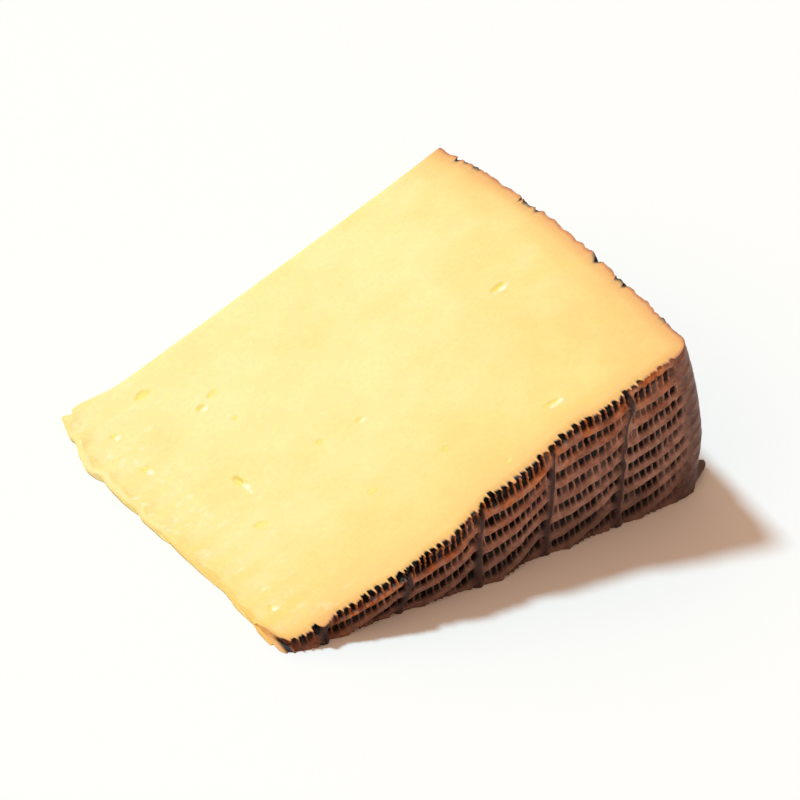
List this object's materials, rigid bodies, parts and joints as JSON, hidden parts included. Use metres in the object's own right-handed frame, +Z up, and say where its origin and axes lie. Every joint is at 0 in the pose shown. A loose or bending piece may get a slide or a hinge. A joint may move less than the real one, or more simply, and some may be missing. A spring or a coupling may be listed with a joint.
{
  "type": "cured sheep cheese wedge",
  "caption": "Wedge cut from a pressed wheel of firm cured sheep cheese, lying on a cut face, with a dark basket-weave rind on its flat and curved sides.",
  "frame": {"origin": "middle of the bottom of the wedge's box, on the plane it lies on", "axes": "+Z up; +X from the thin edge to the curved outer side; +Y from the flat rind face to the far cut, along the axis of the wheel it was cut from"},
  "size_m": [0.1112, 0.0982, 0.0402],
  "materials": {
    "cheese": "firm ivory-yellow paste, with a dark brown waxed rind on the flat and curved sides"
  },
  "bodies": {
    "root": {"cheese_wedge": "cheese"}
  },
  "joints": []
}
